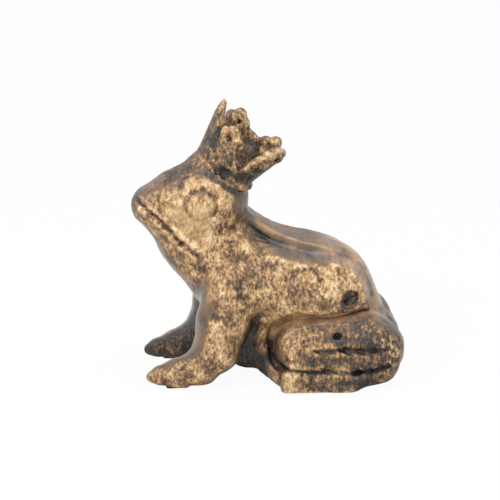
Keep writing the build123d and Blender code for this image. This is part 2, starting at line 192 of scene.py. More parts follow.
def ribbon(c, points, thick, turnIn):
    # a strip along the back, each point y, z, half width, with edges rounded by turnIn
    whole = None
    for a, b in zip(points[:-1], points[1:]):
        run = (b[0] - a[0], b[1] - a[1])
        py, pz = c["y"] - a[0], c["z"] - a[1]
        t = np.clip((py * run[0] + pz * run[1]) / (run[0] ** 2 + run[1] ** 2), 0, 1)
        d = np.sqrt((py - t * run[0]) ** 2 + (pz - t * run[1]) ** 2) - (thick - turnIn)
        w = np.abs(c["x"]) - (a[2] + (b[2] - a[2]) * t - turnIn)
        d = np.sqrt(np.maximum(d, 0) ** 2 + np.maximum(w, 0) ** 2) + np.minimum(np.maximum(d, w), 0) - turnIn
        whole = d if whole is None else np.minimum(whole, d)
    return whole

def slab(c, low, high, turnIn):
    # a block on both sides with rounded edges
    away = [np.abs(p - (a + b) / 2) - (b - a) / 2 + turnIn
            for p, a, b in zip((np.abs(c["x"]), c["y"], c["z"]), low, high)]
    out = np.sqrt(sum(np.maximum(d, 0) ** 2 for d in away))
    return out + np.minimum(np.maximum(np.maximum(away[0], away[1]), away[2]), 0) - turnIn

# the hand shakes a little, so no tool mark is quite straight or even
shake = {
    "y": [(0.22, 1.9, 0.7), (0.18, -1.1, 2.7)],        # waves: mm high, radians per mm of y and of z
    "z": [(0.22, 1.3, 2.1), (0.18, 3.1, -0.4)],
    "even": 0.85, "uneven": [(0.15, 1.3, 1.7)],        # share of the depth that stays, and that varies
}

def waves(c, parts):
    return sum(high * np.sin(alongY * c["y"] + alongZ * c["z"]) for high, alongY, alongZ in parts)

def strokes(c, marks):
    # tool marks on the sides, drawn in the side view: line of y, z points, depth in mm, half width
    y, z = c["y"] + waves(c, shake["y"]), c["z"] + waves(c, shake["z"])
    total = 0
    for line, deep, wide in marks:
        near = None
        for (y0, z0), (y1, z1) in zip(line[:-1], line[1:]):
            run = (y1 - y0, z1 - z0)
            t = np.clip(((y - y0) * run[0] + (z - z0) * run[1]) / (run[0] ** 2 + run[1] ** 2), 0, 1)
            d = (y - y0 - t * run[0]) ** 2 + (z - z0 - t * run[1]) ** 2
            near = d if near is None else np.minimum(near, d)
        total = total + deep * np.exp(-near / wide ** 2)
    return total * (shake["even"] + waves(c, shake["uneven"]))

def skin(c, field, name):
    band = 3 * c["step"]                 # past it the distance doesn't matter
    grid = openvdb.FloatGrid(background=band)
    grid.copyFromArray(np.clip(filled(c, field), -band, band))
    points, quads = grid.convertToQuads(isovalue=0.0)
    mesh = bpy.data.meshes.new(name)
    mesh.from_pydata((points * c["step"] + c["low"]).tolist(), [], quads.tolist())
    mesh.update()
    return mesh

def lattice(places, size, seed):
    # smooth random values, -1 to 1, one every size mm
    cells = 64
    q = places / size
    cell = np.floor(q).astype(int)
    f = q - cell
    f = f * f * (3 - 2 * f)
    rough = np.random.default_rng(seed).uniform(-1, 1, (cells, cells, cells))
    total = 0
    for corner in np.ndindex(2, 2, 2):
        x, y, z = ((cell + corner) % cells).T
        w = [f[:, i] if far else 1 - f[:, i] for i, far in enumerate(corner)]
        total = total + w[0] * w[1] * w[2] * rough[x, y, z]
    return total

def readVertices(mesh):
    places = np.zeros(len(mesh.vertices) * 3, np.float32)
    normals = np.zeros(len(mesh.vertices) * 3, np.float32)
    mesh.vertices.foreach_get("co", places)
    mesh.vertex_normals.foreach_get("vector", normals)
    return places.reshape(-1, 3), normals.reshape(-1, 3)

def blurred(field, reach):
    # running mean along the three axes, for how far a spot stands above its surroundings
    for axis in range(3):
        n = field.shape[axis]
        total = np.cumsum(np.insert(field, 0, 0, axis=axis), axis=axis, dtype=np.float64)
        high = np.clip(np.arange(n) + reach + 1, 0, n)
        low = np.clip(np.arange(n) - reach, 0, n)
        count = (high - low).reshape([-1 if a == axis else 1 for a in range(3)])
        inReach = np.take(total, high, axis=axis) - np.take(total, low, axis=axis)
        field = (inReach / count).astype(np.float32)
    return field

def readField(c, field, places):
    i = np.clip(np.round((places - c["low"]) / c["step"]).astype(int), 0, np.array(c["shape"]) - 1)
    return field[i[:, 0], i[:, 1], i[:, 2]]

def share(at, window):
    # how far each spot lies in a window, from 0 to 1
    # each span of a window names what is measured, where the window starts and where it is full
    total = 1
    for name, start, full in window:
        total = total * ease(at[name], start, full)
    return total

def finishMesh(mesh, places, paint):
    for name, values in paint.items():
        mesh.attributes.new(name, "FLOAT", "POINT").data.foreach_set("value", values.astype(np.float32))
    mesh.vertices.foreach_set("co", (places * mm).astype(np.float32).ravel())
    mesh.polygons.foreach_set("use_smooth", np.ones(len(mesh.polygons), bool))
    mesh.update()
    piece = bpy.data.objects.new(mesh.name, mesh)
    bpy.context.scene.collection.objects.link(piece)
    return piece


# where the crown stands on the head, used by both

seat = {
    "y": -17.4, "z": 73.0, "lean": 38,                 # mm, mm, degrees back from upright
    "radius": 10.3, "flare": 0.22,                     # room cut for the crown, wider upwards
    "edge": 10.8, "dip": 0.7,                          # middle of the dark crease round its foot: out, down
}

def alongCrown(y, z, s):
    # height above the seat and distance ahead of the crown's middle
    a, b = math.sin(math.radians(s["lean"])), math.cos(math.radians(s["lean"]))
    return (y - s["y"]) * a + (z - s["z"]) * b, (z - s["z"]) * a - (y - s["y"]) * b


# the frog's two halves, in mm; forms are given on its left and stand on both sides

frog = {
    "step": 0.5, "block": ((-32, -51, -1), (32, 51, 84)),
    # rods: x, y, z, radius at each point
    "trunk": [(0, -12, 39.5, 14.5), (0, 4, 32, 17.6), (0, 17.5, 29, 18.0), (0, 24, 18, 17.5)],
    "skull": [(0, -41.2, 62.6, 5.4), (0, -34, 63.2, 9.0), (0, -26, 63.6, 12.1), (0, -20, 62.8, 12.3)],
    "jaw": [(0, -41.4, 60.4, 5.4), (0, -26.2, 48.6, 11.4), (0, -15.2, 37.8, 14.4)],
    "trunkFlat": 1.12, "headFlat": 1.12,                # how much wider than round
    "collar": [(0, -20.0, 66.5, 11.6), (0, -17.9, 72.3, 10.9)],
    "nape": [(16.6, -6.0, 80, 7.0), (16.6, -6.4, 64, 6.6), (18.0, -5, 54, 4.6)],
    "neck": [(0, -11, 52.5, 7.0), (0, -2, 47.5, 6.5)],
    "lap": [(6, -8.5, 9.5, 5.6), (8, -2.5, 9.0, 5.6), (17, 4.0, 5.4, 5.2)],
    "recess": [(24, -4.5, 34, 1.5), (20.5, -4.2, 25, 3.8), (18, -3.6, 13, 5.0), (17, -2.0, 4, 6.0)],
    "foreLeg": [(13, -14, 34, 10.0), (15, -17.0, 23, 8.9), (16, -19.4, 14, 8.0), (16, -25, 7.5, 6.0),
                (15.5, -33, 5.0, 4.9), (14.7, -39.0, 4.2, 3.1), (14.4, -42.0, 3.6, 1.9)],
    "thigh": [(18.0, 9.5, 15.6, 9.3), (16.9, 31, 15.0, 11.2)],
    "rump": [(14, 34.6, 12.2, 11.8), (8, 37.4, 10, 10.0)],
    "shank": [(22.4, 9, 11.0, 5.6), (19.0, 36, 8.5, 7.0)],
    "heel": [(20, 25, 5.0, 6.6), (16.5, 37.6, 7.4, 6.8)],
    # eggs: middle, half sizes, tip of the nose in degrees
    "belly": ((0, 3, 14.4), (15.5, 25, 12.6)),
    "flank": ((11.5, 11, 33.5), (9.4, 20.5, 12.3), -20),
    "eye": ((12.0, -24.2, 65.0), (3.7, 5.2, 4.8)),
    "thighPit": ((26.6, 21.6, 20.6), (3.4, 1.6, 1.15)),
    # block under the hind leg, and the strip on the back: y, z, half width
    "foot": ((10, 2.4, -3), (27.2, 28, 8.8)), "footEdge": 2.4,
    "plate": [(-9.5, 59.5, 5.5), (-3.3, 54.4, 7.0), (1.2, 51.8, 7.8), (5.4, 50.2, 8.3),
              (10.2, 48.6, 9.0), (14.1, 47.8, 9.2), (20.5, 45.6, 9.0), (25, 42.6, 8.0)],
    "plateThick": 1.5, "plateEdge": 0.8,
    # cove round the thigh: depth, y of the knee, width there, width lost per mm behind it, least width
    "cove": (2.1, 8, 2.8, 0.09, 0.4),
    "sole": 0.8,                                        # top of the felt pads
    "screw": (26.6, 31.7),                              # y, z of the cross screw
    "screwRecess": (15.9, 2.55), "nutPocket": (13.6, 2.8),     # floor's x, and radius or half width
    "joint": 0.1,                                       # how far each half laps over the joint
    # mm over which a form runs into the others
    "soft": {"trunk": 5, "head": 4, "jaw": 5, "collar": 3, "eye": 1.2, "nape": 1.0, "headOn": 5, "belly": 3,
             "flank": 1.5, "recessRods": 1, "recess": 2.0, "lap": 3, "legRods": 2, "leg": 3, "neck": 2.0,
             "plate": 2.0, "cove": 1.8, "thigh": 0.6, "rump": 3, "shank": 1.4, "heel": 6, "foot": 1.4,
             "pit": 0.5, "seat": 0.1, "screw": 0.8, "pocket": 0.4},
    # where rough flank, cheek and the lip of the back end: y, z
    "flankTop": [(-12, 53), (-8, 51.5), (-1.7, 47.6), (4, 46.4), (9.6, 44.6), (13.2, 45), (18.4, 43.4),
                 (22.2, 43.4), (27.1, 42), (29.4, 38.6), (31.8, 34.8), (33, 30), (34, 26),
                 (36, 25), (48, 24)],
    "browLine": [(-48, 62.8), (-44.6, 63.8), (-40.9, 65.5), (-36, 67.4), (-31.2, 69.6), (-27.2, 72.2),
                 (-23.2, 73.6), (-20.6, 73.0), (-14, 71.6)],
    # the line under the lip of the back, along which a shadow is painted
    "lipUnder": [(-9, 57.8), (-3.6, 52.6), (1.0, 49.9), (5.2, 48.4), (7, 47.8)],
    "markFade": (2.5, 5),                               # mm from the joint, over which the marks set in
    "marks": [
        # mouth: one faint line, five dark dashes in it and a lip on each side
        ([(-46.4, 65.2), (-42.1, 61.8), (-37.4, 57.8), (-31.6, 51.5), (-24.6, 46.2)], 0.25, 0.6),
        ([(-46.4, 65.0), (-43.6, 63.0)], 0.9, 0.65),
        ([(-40.4, 60.4), (-37.8, 58.2)], 0.7, 0.6),
        ([(-35.6, 55.8), (-34.8, 55.0)], 0.8, 0.6),
        ([(-32.8, 52.7), (-30.6, 50.9)], 0.9, 0.7),
        ([(-28.4, 49.0), (-26.8, 47.8)], 0.6, 0.6),
        ([(-44.4, 66.0), (-36.3, 59.2), (-30.5, 53.0), (-25.0, 48.6)], -0.7, 0.9),
        ([(-45.0, 62.2), (-38.5, 56.4), (-32.7, 50.1), (-27.0, 45.3)], -0.7, 0.9),
        # brow: a slight ridge between the top of the head and the cheek
        ([(-44.6, 65.8), (-38.0, 69.4), (-32.0, 72.2),
          (-26.0, 73.2), (-20.6, 72.8), (-15.0, 71.4)], -0.3, 1.2),
        # eye: a thin broken ring round the dome, and a faint arc over it
        ([(-27.6, 61.2), (-29.4, 63.4), (-29.6, 65.6), (-28.6, 68.0), (-26.6, 69.6)], 0.55, 0.6),
        ([(-25.4, 70.0), (-22.8, 70.0)], 0.4, 0.6),
        ([(-21.2, 69.2), (-19.4, 67.4), (-18.8, 65.0), (-19.4, 62.6), (-20.8, 61.0)], 0.65, 0.65),
        ([(-22.4, 60.2), (-24.4, 59.8), (-26.2, 60.2)], 0.3, 0.6),
        ([(-31.0, 66.6), (-29.4, 69.8), (-26.0, 71.6), (-22.4, 71.6)], -0.4, 0.8),
        # top edge of the flank
        ([(-1.7, 47.1), (4.0, 45.8), (9.6, 43.6), (13.2, 44.2), (18.4, 42.6)], -0.5, 1.2),
        # under the lip of the back
        ([(-8.6, 57.4), (-3.6, 52.4), (1.0, 49.7), (6.2, 47.8)], 0.35, 1.2),
        ([(9.5, 46.8), (14.0, 45.6)], 0.4, 1.2),
        # lumps and dents on the shoulder and flank
        ([(-15.6, 43.4), (-15.2, 41.6)], -0.9, 2.4),
        ([(-9.4, 51.0), (-8.0, 49.6)], -0.8, 2.0),
        ([(-12.4, 47.2), (-11.8, 46.2)], 0.6, 1.5),
        ([(-3.4, 41.5), (0.6, 41.6)], -0.7, 2.2),
        ([(-6.0, 36.2), (-2.4, 35.6)], -0.7, 2.2),
        ([(-11.4, 38.6), (-11.0, 35.0)], 0.5, 1.3),
        ([(-8.6, 42.8), (-7.6, 41.0)], 0.5, 1.1),
        ([(3.6, 37.4), (4.4, 33.0)], -0.5, 1.6),
        ([(9.0, 38.8), (12.0, 38.2)], -0.6, 1.8),
        ([(6.8, 41.4), (7.6, 40.4)], 0.5, 1.0),
        ([(15.6, 40.6), (16.2, 38.4)], 0.5, 1.0),
        ([(21.0, 37.6), (21.4, 33.6)], -0.45, 1.2),
        # flank's rear edge: a ridge, then the step down to the hip
        ([(21.0, 43.3), (22.2, 43.2), (27.0, 41.6), (29.3, 38.3), (31.6, 34.6), (32.6, 30.6)], -0.7, 0.9),
        ([(25.0, 44.6), (28.8, 43.0), (31.4, 39.2), (33.8, 35.0), (34.8, 31.0)], 0.8, 1.3),
        # creases, a nick and swellings of the hind leg
        ([(13.4, 16.0), (18.0, 15.7), (24.0, 15.9)], 1.0, 0.65),
        ([(22.6, 16.0), (29.0, 15.7), (37.6, 15.4)], 1.9, 1.15),
        ([(3.4, 9.2), (10.0, 8.6), (17.0, 8.3)], 1.1, 0.65),
        ([(17.0, 8.3), (24.0, 7.8), (30.0, 7.5)], 0.8, 0.6),
        ([(27.0, 7.6), (34.0, 7.9), (39.6, 9.2)], 1.9, 0.85),
        ([(22.6, 20.2), (26.2, 19.7)], 0.7, 0.6),
        ([(12.0, 21.5), (16.0, 22.5)], -0.4, 2.0),
        ([(14.0, 5.0), (18.0, 4.6)], -0.4, 1.4),
        ([(23.0, 4.4), (25.0, 4.6)], 0.4, 1.0),
        # toes of the fore foot
        ([(-42.6, 4.2), (-37.6, 6.2)], 0.3, 0.5),
    ],
    # rough casting: height, size of the lumps, seed
    "lumps": (0.28, 3.1, 3), "grain": (0.20, 1.3, 5), "swell": (0.3, 9, 7),
    "grainTall": 0.5,                                   # upright stretch of the grain
    "calm": 0.3,                                        # what smooth places keep of lumps and grain
    "roughFrom": [("fromJoint", 0.1, 1.2), ("fromSole", 0.2, 1.4)],
    # fine lines combed along the back: height, spacing, and how they wander
    "combed": (0.16, 1.7), "wander": (0.8, 8, 9),
    "combedOn": [("toTop", 0.6, 0.85), ("x", 8.6, 7.8), ("y", -9, -5), ("y", 24, 16)],
    # cells over which a spot is compared with its surroundings, and mm of depth that count
    "reliefFine": 3, "reliefBroad": 10, "reliefDeep": 8,
}

# gold wax on the halves, with painted shade: amounts run from 0 for black to 1 for pale gold, brokenness from
# 0 for smooth; shade is painted by lowering the amount
frogPaint = {
    # the extra gold on top-facing surfaces is a painted sheen
    "gold": (0.22, 0.34, 0.10), "broken": (0.20, 0.90),        # everywhere, more on the sides, more on tops
    "innerBelow": 30,                                   # mm, under it inner sides count as sideways too
    "sides": [("sideways", 0.30, 0.80)],
    # high spots, deep places and tool marks: gold per mm, least and most mm that count; less gold in the
    # broad deep places paints shade there
    "proud": (0.40, -1.0, 0.6), "hollow": (0.05, 0, 3), "carved": (0.22, -0.3, 1.6),
    "lumps": 0.16,                                      # gold on the lumps of the casting
    # coats, some of them painted shade: gold, brokenness, window
    "coatsAndShade": {
        # the back's gold is raised a little as a painted sheen
        "back": (0.43, 0.12, [("overFlank", -0.5, 0.9), ("y", -9, -6.5)]),
        "crest": (0.24, 0.80, [("overBrow", -1.4, 2.6), ("y", -9, -12)]),
        "cove": (0.57, 0.30, [("cove", 1.5, 0.2), ("hollow", 0.4, -0.3), ("z", 12, 20)]),
        "thighTop": (0.50, 0.90, [("toTop", 0.25, 0.6), ("x", 10, 14), ("y", 4, 8), ("y", 38, 32),
                                  ("z", 17, 20), ("z", 27.5, 25.5)]),
        # painted shade: black under the belly and behind the fore leg
        "shadeUnder": (0.04, 0.75, [("x", 20, 15)]),
        # painted shadow under the lip of the back
        "lip": (0.16, 0.40, [("offLip", 2.6, 0.3), ("x", 4, 6), ("y", -9.5, -8), ("y", 7, -1)]),
        "shin": (0.33, 0.15, [("toRear", -0.45, -0.75), ("y", -15, -18), ("z", 10, 16), ("z", 36, 30)]),
        # painted shade on the back of the head, which faces the rear
        "nape": (0.22, 0.20, [("y", -13.2, -12.2), ("y", -3, -6), ("z", 56, 60)]),
        "crownFoot": (0.10, 0.60, [("offSeat", 2.5, 1.2), ("offFoot", 1.2, 0.4), ("ahead", 7, 4.5)]),
    },
    "snout": (0.45, [("y", -34, -42)]),                 # its top is smoother than the rest of the crest
    # the two places under the body painted black as shade: behind the fore leg and low on the belly
    "behindLeg": [("y", -14, -10), ("y", -3.5, -6.5), ("z", 29, 20)],
    "lowBelly": [("y", -14, -9), ("y", 12, 4), ("z", 14, 9)],
    # thin gold and painted shade: how much darker, window
    "thin": {
        # painted shade on inner sides, which face the middle of the frog
        "inner": (0.34, [("outward", -0.1, -0.6), ("z", 40, 30)]),
        "eyeRing": (0.12, [("offEye", 0.17, 0.05), ("crumbs", -0.2, 0.5), ("sideways", 0.30, 0.80)]),
        "screwRing": (0.45, [("offScrew", 1.1, 0.3), ("sideways", 0.30, 0.80)]),
        "cheekEnd": (0.26, [("offCheek", 1.5, 0.5), ("z", 55, 58), ("z", 72, 69), ("flecks", -0.2, 0.3)]),
    },
    "eyeRing": (-0.2, 5.6, 5.2),                        # y from the eye's middle, half sizes
    "screwRing": 2.7, "cheekEnd": -13.6,                # radius, y
    "crumbs": (2.6, 19), "flecks": (2.4, 27),           # breaks in the dark lines: size, seed
    # blotches on the shoulder: y, z, reach, then strength, size and seed, and gold missing
    "shoulder": (-7, 43, 12), "blotches": (0.22, 4.2, 23), "shoulderThin": 0.04,
    # uneven rubbing, and painted light and shade: the lower hind leg darker as painted shade, the cheek and
    # hip lighter as painted light and sheen; y, z, reach, more or less gold, more or less broken
    "rubsAndPaintedLight": [(-28, 60, 10, 0.24, -0.5), (36, 15, 10, -0.42, -0.2), (28, 3, 10, -0.27, 0),
             (12, 3, 8, -0.19, 0), (18, 15, 9, -0.30, 0), (-41, 4, 4, -0.16, 0), (-34, 49, 7, -0.14, 0),
             (-40, 60, 5, -0.05, 0), (30, 41, 7, 0.12, 0), (39, 28, 7, 0.08, 0), (8, 47, 7, -0.08, 0),
             (22, 11.6, 6, 0.24, 0), (21.6, 20.4, 1.9, -0.7, -0.7), (13.5, 47.2, 2.4, -0.2, 0),
             (44, 16, 9, 0.22, 1.6), (27, 13.6, 4.5, -0.14, 0), (-17.2, 57.2, 4.2, 0.18, 0.8)],
}

def shapeFrog(c, f):
    x, y, z = np.abs(c["x"]), c["y"], c["z"]
    soft = f["soft"]
    body = limb(c, f["trunk"], soft["trunk"], f["trunkFlat"])
    skull, jaw = (limb(c, f[name], soft["head"], f["headFlat"]) for name in ("skull", "jaw"))
    head = melt(skull, jaw, soft["jaw"])
    head = melt(head, limb(c, f["collar"]), soft["collar"])
    head = melt(head, lump(c, *f["eye"]), soft["eye"])
    body = melt(body, cut(head, limb(c, f["nape"]), soft["nape"]), soft["headOn"])
    body = melt(body, lump(c, *f["belly"]), soft["belly"])
    body = melt(body, lump(c, *f["flank"]), soft["flank"])
    body = cut(body, limb(c, f["recess"], soft["recessRods"]), soft["recess"])
    body = melt(body, limb(c, f["lap"]), soft["lap"])
    body = melt(body, limb(c, f["foreLeg"], soft["legRods"]), soft["leg"])
    body = melt(body, limb(c, f["neck"]), soft["neck"])
    body = melt(body, ribbon(c, f["plate"], f["plateThick"], f["plateEdge"]), soft["plate"])

    # cove round the thigh, wide at the knee and running out at the hip, then the thigh in it
    deep, knee, wide, narrowing, least = f["cove"]
    thigh = limb(c, f["thigh"])
    coveWide = np.clip(wide - (y - knee) * narrowing, least, wide)
    body = cut(body, np.maximum(thigh - coveWide, -(body + deep)), soft["cove"])
    body = melt(body, thigh, soft["thigh"])
    body = melt(body, limb(c, f["rump"]), soft["rump"])
    body = melt(body, limb(c, f["shank"]), soft["shank"])
    foot = melt(slab(c, *f["foot"], f["footEdge"]), limb(c, f["heel"]), soft["heel"])
    body = melt(body, foot, soft["foot"])

    body = body + strokes(c, f["marks"]) * ease(x, *f["markFade"])
    body = cut(body, lump(c, *f["thighPit"]), soft["pit"])
    up, ahead = alongCrown(y, z, seat)
    room = np.sqrt(x * x + ahead * ahead) - seat["radius"] - seat["flare"] * up
    body = cut(body, np.maximum(-up, room), soft["seat"])
    body = np.maximum(body, f["sole"] - z)

    # recess of the cross screw on the left, pocket of its square nut on the right
    sy, sz = f["screw"]
    floor, half = f["screwRecess"]
    recess = np.maximum(np.sqrt((y - sy) ** 2 + (z - sz) ** 2) - half, floor - c["x"])
    floor, half = f["nutPocket"]
    pocket = np.maximum(np.maximum(np.abs(y - sy), np.abs(z - sz)) - half, floor + c["x"])
    body = cut(cut(body, recess, soft["screw"]), pocket, soft["pocket"])
    return filled(c, body), filled(c, thigh - coveWide)

def measureFrog(f, p, places, normals):
    # what the windows of paint and roughness are read from, one value a vertex
    x, y, z = np.abs(places[:, 0]), places[:, 1], places[:, 2]
    outward = normals[:, 0] * np.sign(places[:, 0])
    up, ahead = alongCrown(y, z, seat)
    eyeMiddle, screwMiddle = f["eye"][0], f["screw"]
    ringShift, ringLong, ringHigh = p["eyeRing"]
    fromEye = np.sqrt(((y - eyeMiddle[1] - ringShift) / ringLong) ** 2 + ((z - eyeMiddle[2]) / ringHigh) ** 2)
    fromScrew = np.sqrt((y - screwMiddle[0]) ** 2 + (z - screwMiddle[1]) ** 2)
    return {
        "x": x, "y": y, "z": z, "ahead": ahead,
        "outward": outward, "toRear": normals[:, 1], "toTop": normals[:, 2],
        "sideways": np.where(z < p["innerBelow"], np.abs(outward), outward),
        "overFlank": z - np.interp(y, *zip(*f["flankTop"])),
        "overBrow": z - np.interp(y, *zip(*f["browLine"])),
        "offLip": np.abs(z - np.interp(y, *zip(*f["lipUnder"]))),
        "offSeat": np.abs(np.sqrt(x * x + ahead * ahead) - seat["edge"]),
        "offFoot": np.abs(up + seat["dip"]),
        "offEye": np.abs(fromEye - 1),
        "offScrew": np.abs(fromScrew - p["screwRing"]),
        "offCheek": np.abs(y - p["cheekEnd"]),
        "crumbs": lattice(places, *p["crumbs"]), "flecks": lattice(places, *p["flecks"]),
    }

def paintFrog(f, p, at, places):
    # rubAndShade: how much gold a spot took, lowered where shade is painted; speck: how broken it is; spots
    # facing sideways take more gold
    y, z = at["y"], at["z"]
    facing = share(at, p["sides"])
    plain, onSides, onTops = p["gold"]
    smooth, breaks = p["broken"]
    # top-facing spots take more gold: a painted sheen
    paint = {"rubAndShade": plain + onSides * facing + onTops * np.maximum(at["toTop"], 0) ** 2,
             "speck": smooth + breaks * facing}

    def wipe(name, part=1):
        gold, broken, window = p["coatsAndShade"][name]
        part = part * share(at, window)
        paint["rubAndShade"] = paint["rubAndShade"] + (gold - paint["rubAndShade"]) * part
        paint["speck"] = paint["speck"] + (broken - paint["speck"]) * part
        return part

    def thin(name):
        darkerBy, window = p["thin"][name]
        paint["rubAndShade"] = paint["rubAndShade"] - darkerBy * share(at, window)

    # smooth dark back, hip and top of the head, above the lines where the rough flank and the cheek end; the
    # back's level is raised a little as a painted sheen
    back = wipe("back")
    crest = wipe("crest")
    calmer, window = p["snout"]
    paint["speck"] = paint["speck"] - calmer * share(at, window) * crest

    # more gold on high spots and lumps, less in broad deep places, which paints shade there
    onProud, low, high = p["proud"]
    inHollow, least, most = p["hollow"]
    relief = onProud * np.clip(at["proud"], low, high) - inHollow * np.clip(-at["hollow"], least, most)
    paint["rubAndShade"] = paint["rubAndShade"] + relief + p["lumps"] * lattice(places, *f["lumps"][1:]) * facing * (1 - back)

    # brown cove and gold thigh; painted shade under the body, under the lip of the back, on the nape and on
    # inner sides; smooth shins, dark lines
    inCove = wipe("cove")
    wipe("thighTop", 1 - inCove)
    wipe("shadeUnder", np.maximum(share(at, p["behindLeg"]), share(at, p["lowBelly"])))
    for name in ("lip", "shin", "nape"):
        wipe(name)
    for name in ("inner", "eyeRing"):
        thin(name)
    wipe("crownFoot")
    for name in ("screwRing", "cheekEnd"):
        thin(name)

    # blotches on the shoulder, paint left in the tool marks, and the hand's uneven rubbing with painted light
    # and shade
    atY, atZ, reach = p["shoulder"]
    strength, size, seed = p["blotches"]
    shoulder = np.exp(-((y - atY) ** 2 + (z - atZ) ** 2) / reach ** 2) * facing * (1 - back)
    paint["rubAndShade"] = paint["rubAndShade"] + (strength * lattice(places, size, seed) - p["shoulderThin"]) * shoulder
    left, low, high = p["carved"]
    carved = strokes(at, f["marks"]) * ease(at["x"], *f["markFade"]) * facing
    paint["rubAndShade"] = paint["rubAndShade"] - left * np.clip(carved, low, high)
    for atY, atZ, reach, more, rougher in p["rubsAndPaintedLight"]:
        near = np.exp(-((y - atY) ** 2 + (z - atZ) ** 2) / reach ** 2)
        paint["rubAndShade"], paint["speck"] = paint["rubAndShade"] + more * near, paint["speck"] * (1 + rougher * near)
    return paint

def roughenFrog(f, at, places, speck):
    # mm that the rough casting stands out at each vertex
    high, size, seed = f["lumps"]
    rough = high * lattice(places, size, seed)
    high, size, seed = f["grain"]
    rough = rough + high * lattice(places * (1, 1, f["grainTall"]), size, seed)
    high, size, seed = f["swell"]
    rough = rough * (f["calm"] + (1 - f["calm"]) * speck) + high * lattice(places, size, seed)
    high, apart = f["combed"]
    wander, size, seed = f["wander"]
    lines = np.sin(2 * math.pi * places[:, 0] / apart + wander * lattice(places, size, seed))
    rough = rough + high * share(at, f["combedOn"]) * lines
    return rough * share(at, f["roughFrom"])

def addHalves(f, p):
    c = clayBlock(*f["block"], f["step"])
    body, cove = shapeFrog(c, f)
    near = np.clip(body, -f["reliefDeep"], f["reliefDeep"])
    # hollow is the broad depth, which darkens deep places as painted shade
    proud, hollow = blurred(near, f["reliefFine"]) - near, blurred(near, f["reliefBroad"]) - near
    halves = {}
    for name, side in (("left_half", 1), ("right_half", -1)):
        mesh = skin(c, np.maximum(body, -f["joint"] - side * c["x"]), name + "_skin")
        places, normals = readVertices(mesh)
        at = measureFrog(f, p, places, normals)
        at.update({key: readField(c, field, places) for key, field in
                   (("proud", proud), ("hollow", hollow), ("cove", cove))})
        at.update(fromJoint=side * places[:, 0], fromSole=places[:, 2] - f["sole"])
        paint = paintFrog(f, p, at, places)
        rough = roughenFrog(f, at, places, paint["speck"])
        halves[name] = finishMesh(mesh, places + normals * rough[:, None], paint)
        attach(halves[name], "root")
        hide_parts(name)
        print(name, "faces", len(mesh.polygons))
    return halves

halves = addHalves(frog, frogPaint)


# the crown; turns are degrees from its front towards the frog's left, heights run along its own axis

crown = {
    "step": 0.33, "block": ((-19, -36, 60), (19, 14, 103)),
    "baseRadius": 9.3, "tipRadius": 13.8, "tipHigh": 21.0, "flare": 1.35, "flareEnd": 1.2,
    "wall": 1.4, "floor": 5.0, "sunk": 0.3,             # half the wall, floor of the cup, depth in the seat
    "leaves": 5,
    # ragged rim: turn, up
    "rim": [(-180, 12.5), (-145, 15), (-128, 16), (-110, 16.6), (-90, 16.6), (-72, 16), (-52, 15),
            (-36, 12.6), (-20, 16), (0, 17), (20, 16), (36, 12.2), (46, 13.2), (58, 14), (70, 13.2),
            (80, 11), (90, 8.4), (99, 6.4), (106, 6.0), (111, 9.5), (116, 14), (124, 15.6), (146, 15.4),
            (164, 13.4), (180, 12.5)],
    "worn": (20, 106, 58, 3.2),            # the leaf on the seen side: from, to, its middle, mm lost
    # lobes of a leaf: across, up, half sizes; the front leaf is a plain blade
    "lobes": [(0, 14.0, 3.0, 4.8), (0, 18.8, 2.5, 2.3), (3.0, 16.6, 2.4, 2.3), (-3.0, 16.6, 2.4, 2.3)],
    "frontLobes": [(0, 11.5, 4.4, 6.0), (0, 16.6, 2.8, 5.0)],
    "lobeThick": 2.1, "bladeThick": 1.5,
    "pit": (0, 16.6, 0.9, 0.6),                         # in each leaf: across, up, radius, half wall left
    # beads round the foot: turn, out, up, radius
    "beads": [(53, 10.2, 1.8, 1.5), (133, 10.9, 2.4, 2.3), (180, 10.6, 2.2, 2.0),
              (233, 10.9, 2.6, 2.2), (307, 10.2, 1.8, 1.5)],
    # gouges, the same on both sides: turn, out, from up, to up, radius
    "gouges": [(78, 11.3, 0.4, 1.4, 1.5), (84, 11.4, 0.6, 2.6, 1.8),
               (89, 11.3, 2.6, 3.4, 1.2), (36, 13.4, 7.5, 13.0, 1.5)],
    "soft": {"rim": 0.8, "lobe": 1.0, "blade": 1.2, "pit": 0.5, "floor": 0.6, "gouge": 0.7, "bead": 0.5},
    "reliefCells": 5, "reliefDeep": 6,
    # gold: everywhere, more on the sides, and on high spots; brokenness
    "gold": (0.29, 0.16), "sides": [("sideways", 0.25, 0.75)], "proud": (0.42, -1.5, 0.5), "broken": 1.15,
    # inside of the cup: gold, less of it towards the front, brokenness lost
    "inside": (0.30, 0.22, 0.6), "insideFront": [("forward", 2, 7)],
    "insideOn": [("outward", -0.1, -0.5), ("lift", 16, 11)],
    # smooth front wall: gold and brokenness missing
    "panel": (0.12, 0.4), "panelOn": [("front", 0.75, 0.95), ("lift", 15, 11)],
    "rearWall": (0.14, [("forward", -2, -6), ("lift", 12, 9)]),
    "shadedGap": 110,                                     # turn of the gap behind the worn leaf, whose shade is painted on the wall
    # thin gold and painted shade: how much darker, window
    "thin": {
        # a gap's shade, painted onto the wall below the worn leaf
        "shadedGap": (0.24, [("offGap", 16, 8), ("lift", 9, 7), ("lift", 2.5, 4)]),
        # painted shade on surfaces that face down
        "shadedUndersides": (0.40, [("toTop", -0.45, -0.85)]),
        "foot": (0.16, [("lift", 1.0, 0)]),
        # the gouges are also darkened as painted shade
        "gouges": (0.45, [("dug", 1.0, 0.1)]),
    },
    # blotches of gold, then the rough casting: strength or height, size, seed
    "blotches": [(0.20, 2.2, 11), (0.12, 4.4, 21)],
    "rough": [(0.16, 2.2, 11), (0.12, 1.1, 13), (0.2, 5, 15)], "roughFrom": [("lift", 0.1, 1.0)],
}

